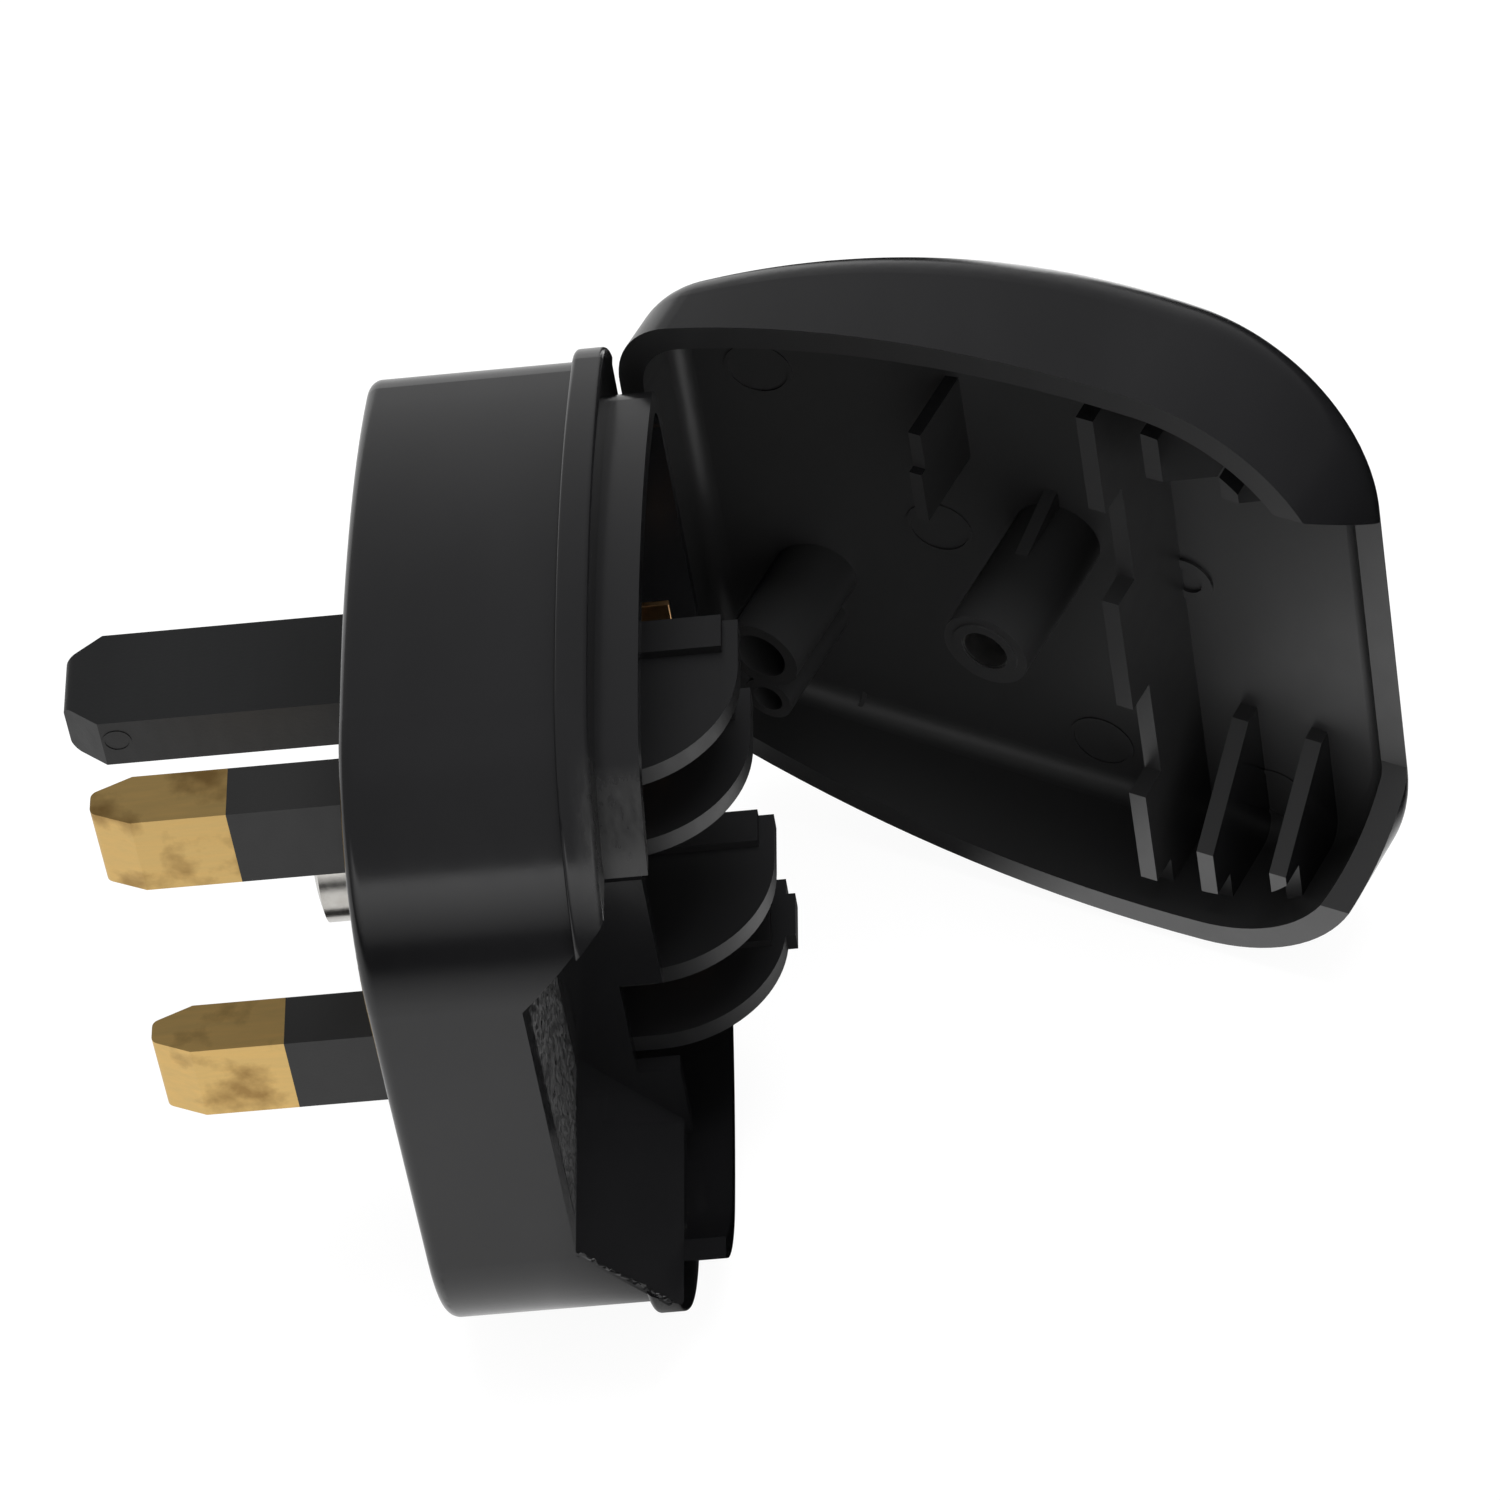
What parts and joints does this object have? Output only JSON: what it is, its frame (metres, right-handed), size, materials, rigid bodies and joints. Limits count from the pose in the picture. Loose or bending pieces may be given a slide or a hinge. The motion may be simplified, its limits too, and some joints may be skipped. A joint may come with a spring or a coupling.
{
  "type": "travel adapter plug",
  "caption": "Converter plug with a hinged lid that closes over a two-pin plug, with flat and earth pins, spring contacts, a fuse and a captive closing screw.",
  "frame": {"origin": "on the flat pin face, midway between the live and neutral pins", "axes": "+X away from the pins, +Y towards the earth pin and the hinge, +Z towards the neutral side"},
  "size_m": [0.0869, 0.0563, 0.0536],
  "materials": {
    "shell_plastic": "glossy black moulding",
    "pin_plastic": "satin black moulding",
    "pin_brass": "satin brass",
    "contact_brass": "rolled strip",
    "screw_steel": "nickel plated",
    "plain_steel": "plain",
    "fuse_cap_metal": "plated",
    "fuse_ceramic": "unglazed ceramic"
  },
  "bodies": {
    "base": {"base_shell": "shell_plastic", "hinge_pin": "plain_steel", "neutral_pin": "pin_brass", "neutral_pin_sleeve": "pin_plastic", "live_pin": "pin_brass", "live_pin_sleeve": "pin_plastic", "earth_pin": "pin_plastic", "contact_carrier": "pin_plastic", "carrier_screws": "plain_steel", "neutral_socket_contact": "contact_brass", "live_socket_contact": "contact_brass", "neutral_strap": "contact_brass", "fuse_body": "fuse_ceramic", "fuse_cap_pin_end": "fuse_cap_metal", "fuse_cap_socket_end": "fuse_cap_metal", "fuse_clip_pin_end": "contact_brass", "fuse_clip_socket_end": "contact_brass"},
    "lid": {"lid_shell": "shell_plastic", "boss_insert": "contact_brass"},
    "closing_screw": {"closing_screw": "screw_steel", "screw_retainer": "plain_steel"}
  },
  "joints": [
    {"name": "lid_hinge", "type": "hinge", "parent": "base", "child": "lid", "pos_m": [0.0152, 0.0329, 0], "axis": [0, 0, 1], "range_deg": [-62.5, 47.5]},
    {"name": "closing_screw_slide", "type": "slide", "parent": "base", "child": "closing_screw", "axis": [1, 0, 0], "range_m": [0, 0.006]}
  ]
}
